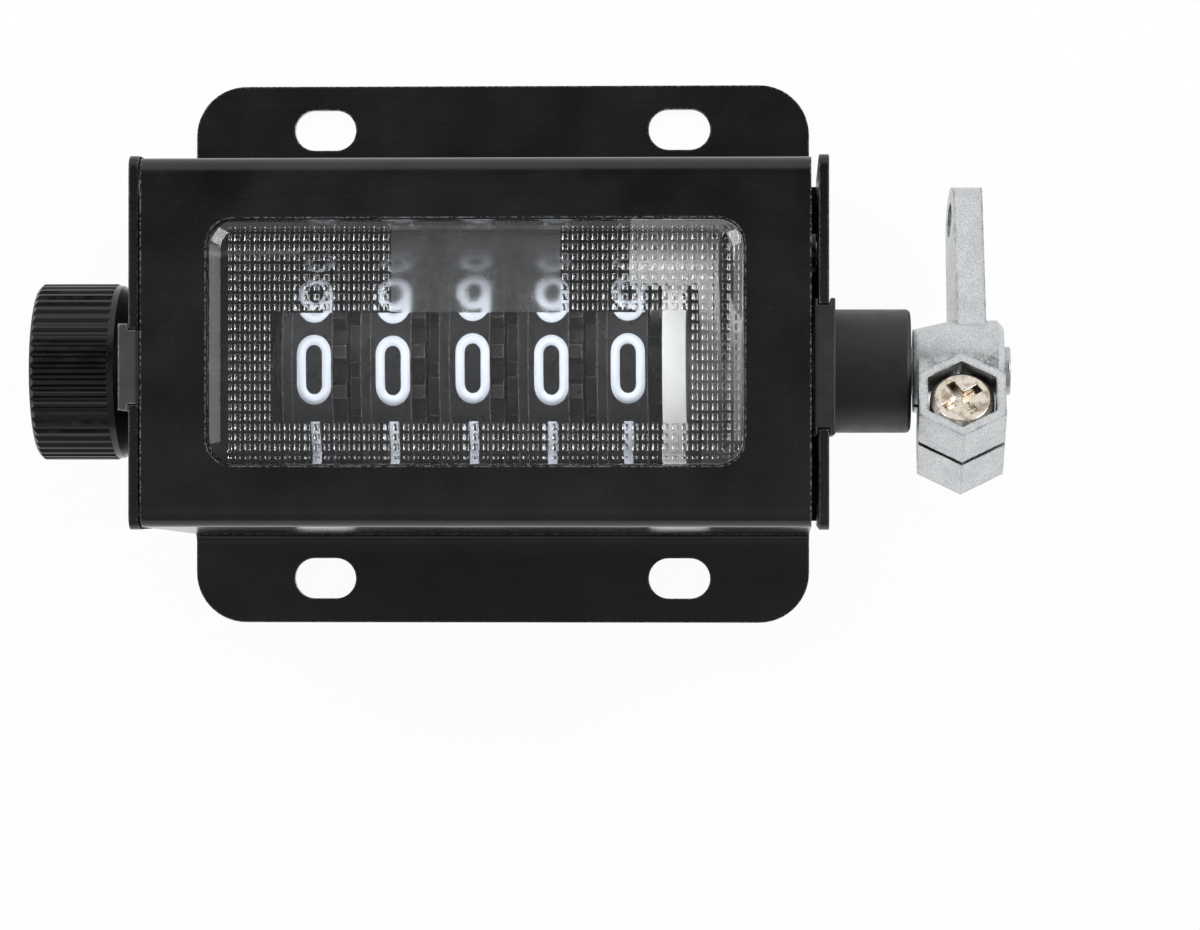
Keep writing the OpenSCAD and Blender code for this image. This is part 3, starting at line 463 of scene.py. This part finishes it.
def new_piece(name, bm, body, slot, *looks):
    """A mesh object from bm that rides on body."""
    mesh = bpy.data.meshes.new(name)
    bm.to_mesh(mesh)
    bm.free()
    for key in ("custom_normal", "sharp_face"):  # left by the CAD mesh that bm may come from
        if key in mesh.attributes:
            mesh.attributes.remove(mesh.attributes[key])
    for look in looks:
        mesh.materials.append(look.material)
    piece = bpy.data.objects.new(name, mesh)
    bpy.context.scene.collection.objects.link(piece)
    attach(piece, body)
    return piece


def shade_smooth(piece, sharp_from):
    """Smooth shading, except across edges of sharp_from degrees or more."""
    for face in piece.data.polygons:
        face.use_smooth = True
    piece.data.set_sharp_from_angle(angle=math.radians(sharp_from))


def dressed(node, edge, slot):
    """A CAD node's shape with its sharp edges rounded by edge millimetres, in the node's place."""
    bm = bmesh.new()
    bm.from_mesh(frame["nodes"][node].data)
    bmesh.ops.remove_doubles(bm, verts=bm.verts, dist=CLOSE * MM)
    bmesh.ops.dissolve_limit(bm, angle_limit=math.radians(FLAT_ANGLE), verts=bm.verts, edges=bm.edges)
    piece = new_piece(node + "_finish", bm, body_of[node], slot, LOOKS[slot])
    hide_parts(node)
    for face in piece.data.polygons:
        face.material_index = 0
    shade_smooth(piece, SHARP_ANGLE)
    rounding = piece.modifiers.new("edges", "BEVEL")
    rounding.width = edge * MM
    rounding.segments = EDGE_STEPS
    rounding.limit_method = "ANGLE"
    rounding.angle_limit = math.radians(SHARP_ANGLE)
    rounding.harden_normals = True
    rounding.use_clamp_overlap = True


def rounded_outline(half_x, half_y, radius, steps=8):
    """Points round a rectangle with round corners, anticlockwise."""
    points = []
    for k, (sx, sy) in enumerate(((1, 1), (-1, 1), (-1, -1), (1, -1))):
        middle_x = sx * (half_x - radius)
        middle_y = sy * (half_y - radius)
        for s in range(steps + 1):
            a = math.radians(90 * k + 90 * s / steps)
            points.append((middle_x + radius * math.cos(a), middle_y + radius * math.sin(a)))
    return points


def ring(bm, points, z):
    """A row of corners at one height."""
    return [bm.verts.new((x * MM, y * MM, z * MM)) for x, y in points]


def skin(bm, first, second):
    """Faces between two rings of as many points."""
    count = len(first)
    for k in range(count):
        n = (k + 1) % count
        bm.faces.new((first[k], first[n], second[n], second[k]))


def grid_lines(start, whole, cut_first, cut_last):
    """Lines between the beads, with a cut row or column at each end."""
    lines = [start + k * CELL for k in range(whole + 1)]
    return [start - cut_first * CELL] + lines + [lines[-1] + cut_last * CELL]


def bead(bm, corners, box):
    """One small rounded pad that stands down from the field, joined to its cell's four corners."""
    x0, y0, x1, y1 = box
    scale_x, scale_y = (x1 - x0) / CELL, (y1 - y0) / CELL
    middle = Vector(((x0 + x1) / 2, (y0 + y1) / 2))
    count = BEAD_CORNER_POINTS
    last = None
    for inset_x, inset_y, drop in BEAD_STEPS:
        half_x = (BEAD_HALF[0] - inset_x) * scale_x
        half_y = (BEAD_HALF[1] - inset_y) * scale_y
        radius = min(BEAD_R, half_x / 2, half_y / 2)
        points = rounded_outline(half_x, half_y, radius, count - 1)
        row = ring(bm, [(middle.x + x, middle.y + y) for x, y in points], FIELD_Z - drop)
        if last is None:
            for k, corner in enumerate(corners):
                n = (k + 1) % len(corners)
                curve = row[k * count : (k + 1) * count]
                for a, b in zip(curve, curve[1:]):
                    bm.faces.new((corner, b, a))
                bm.faces.new((corner, corners[n], row[n * count], curve[-1]))
        else:
            skin(bm, last, row)
        last = row
    bm.faces.new(last)


def fill_between(bm, outer, inner):
    """Flat faces between two closed rows of corners."""
    pairs = [(loop[k], loop[(k + 1) % len(loop)]) for loop in (outer, inner) for k in range(len(loop))]
    edges = [bm.edges.get(pair) or bm.edges.new(pair) for pair in pairs]
    bmesh.ops.triangle_fill(bm, edges=edges, use_beauty=True)


def reader_strip(bm, x0, y0, x1, y1):
    """The magnifying strip, a shallow barrel with bowed ends; returns its outline."""
    half_h = (y1 - y0) / 2
    left, right, left_rim, right_rim = [], [], [], []
    for s in range(STRIP_STEPS + 1):
        t = 2 * s / STRIP_STEPS - 1
        y = y0 + (t + 1) * half_h
        depth = math.sqrt(STRIP_R**2 - (t * half_h) ** 2) - math.sqrt(STRIP_R**2 - half_h**2)
        bow = STRIP_BOW * t * t
        for x, low, rim in ((x0 + bow, left, left_rim), (x1 - bow, right, right_rim)):
            rim.append(bm.verts.new((x * MM, y * MM, FIELD_Z * MM)))
            at_end = s in (0, STRIP_STEPS)
            low.append(rim[-1] if at_end else bm.verts.new((x * MM, y * MM, (FIELD_Z - depth) * MM)))
    for s in range(STRIP_STEPS):
        bm.faces.new((left[s], right[s], right[s + 1], left[s + 1]))
        for low, rim in ((left, left_rim), (right, right_rim)):
            around = [rim[s], low[s], low[s + 1], rim[s + 1]]
            bm.faces.new(list(dict.fromkeys(around)))
    return right_rim + left_rim[::-1]


def lens_field(bm):
    """The back of the lens: beads, a magnifying strip over the digits and a plain label panel."""
    xs = grid_lines(GRID_LEFT, WHOLE_COLUMNS, CUT_LEFT, CUT_RIGHT)
    ys = grid_lines(GRID_LOW, WHOLE_ROWS, CUT_LOW, CUT_HIGH)
    grid = [[None] * len(ys) for _ in xs]

    def corner(i, j):
        if grid[i][j] is None:
            grid[i][j] = bm.verts.new((xs[i] * MM, ys[j] * MM, FIELD_Z * MM))
        return grid[i][j]

    def outline(first_i, first_j, last_i, last_j):
        places = [(i, first_j) for i in range(first_i, last_i)]
        places += [(last_i, j) for j in range(first_j, last_j)]
        places += [(i, last_j) for i in range(last_i, first_i, -1)]
        places += [(first_i, j) for j in range(last_j, first_j, -1)]
        return [corner(i, j) for i, j in places]

    for i in range(len(xs) - 1):
        for j in range(len(ys) - 1):
            if i in READER_COLUMNS and j in READER_ROWS:
                continue
            corners = [corner(a, b) for a, b in ((i + 1, j + 1), (i, j + 1), (i, j), (i + 1, j))]
            if i in LABEL_COLUMNS and j in LABEL_ROWS:
                bm.faces.new(corners).material_index = 1
            else:
                bead(bm, corners, (xs[i], ys[j], xs[i + 1], ys[j + 1]))
    i0, i1 = READER_COLUMNS.start, READER_COLUMNS.stop
    j0, j1 = READER_ROWS.start, READER_ROWS.stop
    gap = STRIP_INSET
    strip = reader_strip(bm, xs[i0] + gap, ys[j0] + gap, xs[i1] - gap, ys[j1] - gap)
    fill_between(bm, outline(i0, j0, i1, j1), strip)
    return outline(0, 0, len(xs) - 1, len(ys) - 1)


def lens():
    """The clear window, with its bevelled front, hidden rim and textured back."""
    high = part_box("lens")[1] / MM
    half_x, half_y = high.x, high.y
    boss_x, boss_y = half_x - LENS_RIM, half_y - LENS_RIM
    cut = LENS_RIM_CHAMFER
    bm = bmesh.new()
    rings = []
    for inset_x, inset_y, drop in LENS_BEVEL:
        radius = LENS_BOSS_R - inset_x * BEVEL_CORNER
        points = rounded_outline(boss_x - inset_x, boss_y - inset_y, radius)
        rings.append(ring(bm, points, high.z - drop))
    rings.append(ring(bm, rounded_outline(boss_x, boss_y, LENS_BOSS_R), LENS_RIM_TOP))
    rim = rounded_outline(half_x, half_y, LENS_RIM_R + cut)
    rim_end = rounded_outline(half_x - cut, half_y - cut, LENS_RIM_R)
    rings.append(ring(bm, rim_end, LENS_RIM_TOP))
    rings.append(ring(bm, rim, LENS_RIM_TOP - cut))
    rings.append(ring(bm, rim, FIELD_Z + cut))
    rings.append(ring(bm, rim_end, FIELD_Z))
    bm.faces.new(rings[0])
    for first, second in zip(rings, rings[1:]):
        skin(bm, second, first)
    fill_between(bm, rings[-1], lens_field(bm))
    bmesh.ops.recalc_face_normals(bm, faces=bm.faces)
    looks = (LOOKS["clear_plastic"], HAZED)
    piece = new_piece("lens_finish", bm, body_of["lens"], "clear_plastic", *looks)
    shade_smooth(piece, LENS_SHARP_ANGLE)
    # The strip's long edges are sharp where it meets the field and smooth along its curve
    for edge in piece.data.edges:
        a, b = (piece.data.vertices[k].co / MM for k in edge.vertices)
        if abs(a.y - b.y) < CLOSE and abs(a.x - b.x) > CELL * 2 and a.z < FIELD_Z + CLOSE:
            edge.use_edge_sharp = abs(a.z - FIELD_Z) < CLOSE
    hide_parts("lens")


def arc(cx, cy, rx, ry, start, end, steps=14):
    """Points on an elliptic arc; angles in degrees, anticlockwise from +X."""
    turn = [math.radians(start + (end - start) * s / steps) for s in range(steps + 1)]
    return [(cx + rx * math.cos(a), cy + ry * math.sin(a)) for a in turn]


def digit_strokes():
    """Middle lines of the ten figures, with True where a line closes on itself."""
    w, h, up = DIGIT_HALF_W, DIGIT_HALF_H, DIGIT_BOWL
    down = h - up  # half height of the larger lower bowls
    top, low = h - w, w - h  # centres of the round ends
    nine = arc(0, h - DIGIT_RING, w, DIGIT_RING, 0, 360, 24)
    return {
        0: [(arc(0, top, w, w, 0, 180) + arc(0, low, w, w, 180, 360), True)],
        1: [([(0, h), (0, -h)], False)],
        2: [(arc(0, top, w, w, 170, -25) + [(-w + 0.1, -h), (w + 0.05, -h)], False)],
        3: [(arc(0, h - up, w * 0.95, up, 160, -90) + arc(0, down - h, w, down, 90, -160), False)],
        4: [([(w * 0.45, -h), (w * 0.45, h), (-w - 0.05, -1.1), (w + 0.2, -1.1)], False)],
        5: [([(w, h), (-w + 0.1, h), (-w + 0.05, 0.25)] + arc(0, -1.0, w, 1.45, 118, -150), False)],
        6: [([(-x, -y) for x, y in nine], True), ([(-w, -1.2)] + arc(0, top, w, w, 180, 15), False)],
        7: [([(-w, h), (w, h), (-w * 0.3, -h)], False)],
        8: [
            (arc(0, h - up, w * 0.92, up, -90, 270, 24), True),
            (arc(0, down - h, w, down, 90, 450, 24), True),
        ],
        9: [(nine, True), ([(w, 1.2)] + arc(0, low, w, w, 0, -165), False)],
    }


def spans(row, closed):
    """Each item of a row with the next one, and the last with the first where it is closed."""
    return list(zip(row, row[1:] + row[:1])) if closed else list(zip(row, row[1:]))


def edges_of(points, closed, half):
    """The two edges of a stroke along points, half millimetres to either side."""
    count = len(points)
    sides = []
    for k, here in enumerate(points):
        before = points[k - 1] if closed or k else here
        after = points[(k + 1) % count] if closed or k < count - 1 else here
        one = Vector((here[0] - before[0], here[1] - before[1]))
        two = Vector((after[0] - here[0], after[1] - here[1]))
        one = one.normalized() if one.length else two.normalized()
        two = two.normalized() if two.length else one
        across = Vector((-one.y - two.y, one.x + two.x)).normalized()
        reach = half / max(across.dot(Vector((-one.y, one.x))), DIGIT_MITRE)
        middle = Vector(here)
        sides.append((middle + across * reach, middle - across * reach))
    return sides


def finer(points, closed):
    """The same line with long straight stretches cut, so that it bends round the drum."""
    out = []
    for (ax, ay), (bx, by) in spans(points, closed):
        cuts = max(1, math.ceil(math.hypot(bx - ax, by - ay) / DIGIT_CUT))
        out += [(ax + (bx - ax) * c / cuts, ay + (by - ay) * c / cuts) for c in range(cuts)]
    clean = [p for k, p in enumerate(out) if k == 0 or math.dist(p, out[k - 1]) > CLOSE]
    return clean if closed else clean + [points[-1]]


def digits(wheel, centre, play):
    """The ten printed figures of one number wheel, as a thin film round its drum."""
    bm = bmesh.new()

    def on_drum(place, turn, lift):
        a = turn + place.y / WHEEL_R
        radius = WHEEL_R + lift
        y = SHAFT_Y + radius * math.sin(a)
        z = SHAFT_Z + radius * math.cos(a)
        return bm.verts.new(((centre + place.x) * MM, y * MM, z * MM))

    for figure, strokes in digit_strokes().items():
        turn = math.radians(play - DIGIT_STEP * figure)
        for layer, (line, closed) in enumerate(strokes):
            rows = []
            top = DIGIT_UP + layer * DIGIT_LAYER
            for left, right in edges_of(finer(line, closed), closed, DIGIT_STROKE / 2):
                section = ((left, top), (right, top), (right, -DIGIT_IN), (left, -DIGIT_IN))
                rows.append([on_drum(place, turn, lift) for place, lift in section])
            for a, b in spans(rows, closed):
                skin(bm, a, b)
            if not closed:
                bm.faces.new(rows[0])
                bm.faces.new(rows[-1][::-1])
    bmesh.ops.recalc_face_normals(bm, faces=bm.faces)
    new_piece(wheel + "_digits", bm, wheel, "digit_white", LOOKS["digit_white"])


def seen_directly(look):
    """1 for rays from the camera, a mirror or glass."""
    path = look.nodes.new("ShaderNodeLightPath")
    both = look.maths("MAXIMUM", path.outputs["Is Camera Ray"], path.outputs["Is Glossy Ray"])
    return look.maths("MAXIMUM", both, path.outputs["Is Transmission Ray"])


def backdrop():
    """A white table that shows as white and still takes the counter's shadow."""
    height = cad_box[0].z - TABLE_GAP * MM
    bpy.ops.mesh.primitive_plane_add(size=TABLE_SIZE * MM, location=(0, 0, height))
    floor = bpy.context.object
    floor.name = "table"
    paint = {"Base Color": TABLE_PALE, "Roughness": 0.9, "Specular IOR Level": 0.0}
    look = Look("table_white", paint)
    lit = look.shader.outputs[0]
    glow = look.wire("ShaderNodeEmission", {"Color": (1, 1, 1, 1), "Strength": 1.0})
    shown = look.wire("ShaderNodeMixShader", {0: TABLE_GLOW, 1: lit, 2: glow.outputs[0]})
    mix = look.wire("ShaderNodeMixShader", {0: seen_directly(look), 1: lit, 2: shown.outputs[0]})
    look.links.new(mix.outputs[0], look.out.inputs["Surface"])
    floor.data.materials.append(look.material)


def surroundings():
    """A tent of light: walls that are dimmer towards -Y, a dark roof that is less dark there,
    and white all round the horizon.
    """
    world = bpy.data.worlds.new("tent")
    bpy.context.scene.world = world
    world.use_nodes = True
    nodes, links = world.node_tree.nodes, world.node_tree.links
    back = nodes["Background"]
    place = nodes.new("ShaderNodeTexCoord")
    split = nodes.new("ShaderNodeSeparateXYZ")
    links.new(place.outputs["Generated"], split.inputs[0])
    along_y, along_z = split.outputs[1], split.outputs[2]

    def ramp(part, ends, strengths):
        shade = nodes.new("ShaderNodeMapRange")
        shade.interpolation_type = "SMOOTHSTEP"
        links.new(part, shade.inputs["Value"])
        shade.inputs["From Min"].default_value = ends[0]
        shade.inputs["From Max"].default_value = ends[1]
        shade.inputs["To Min"].default_value = strengths[0]
        shade.inputs["To Max"].default_value = strengths[1]
        return shade.outputs[0]

    def join(kind, a, b):
        made = nodes.new("ShaderNodeMath")
        made.operation = kind
        links.new(a, made.inputs[0])
        links.new(b, made.inputs[1])
        return made.outputs[0]

    wall_tone = ramp(along_y, WALL_SIDES, WALL_STRENGTHS)
    roof_tone = ramp(along_y, ROOF_SIDES, ROOF_STRENGTHS)
    walls = join("MULTIPLY", ramp(along_z, ROOF_EDGE, (1.0, 0.0)), wall_tone)
    roof = join("MULTIPLY", ramp(along_z, ROOF_EDGE, (0.0, 1.0)), roof_tone)
    horizon = ramp(along_z, HORIZON_EDGE, (1.0, 0.0))
    links.new(join("MAXIMUM", join("ADD", walls, roof), horizon), back.inputs["Strength"])
    back.inputs["Color"].default_value = (1, 1, 1, 1)


def lamp(name, place, size, power):
    """A rectangular lamp that faces the counter."""
    data = bpy.data.lights.new(name, "AREA")
    data.shape = "RECTANGLE"
    data.size, data.size_y = (s * MM for s in size)
    data.energy = power
    made = bpy.data.objects.new(name, data)
    made.location = Vector(place) * MM
    aim = Vector(LAMP_AIM) * MM - made.location
    made.rotation_mode = "QUATERNION"
    made.rotation_quaternion = aim.to_track_quat("-Z", "Y")
    bpy.context.scene.collection.objects.link(made)


def camera():
    """The photograph's camera, almost straight above the counter."""
    data = bpy.data.cameras.new("camera")
    data.lens = CAMERA_LENS
    data.sensor_width = CAMERA_SENSOR
    eye = bpy.data.objects.new("camera", data)
    eye.location = Vector(CAMERA_AT) * MM
    eye.rotation_euler = (math.radians(CAMERA_LEAN[0]), math.radians(CAMERA_LEAN[1]), 0)
    bpy.context.scene.collection.objects.link(eye)
    bpy.context.scene.camera = eye


for name, edge in EDGES.items():
    dressed(name, edge, slot_of(name))
for name in WHEELS:
    if name != "units":
        dressed(name + "_pinion", PINION_EDGE, "grey_plastic")
lens()
for name, (centre, play) in WHEELS.items():
    digits(name, centre, play)
for name, piece in frame["nodes"].items():
    if not piece.hide_render:  # shown as it comes from CAD
        piece.data.materials[0] = LOOKS[slot_of(name)].material

backdrop()
surroundings()
for name, (place, size, power) in LAMPS.items():
    lamp(name, place, size, power)
camera()
bpy.context.scene.view_settings.view_transform = "Standard"
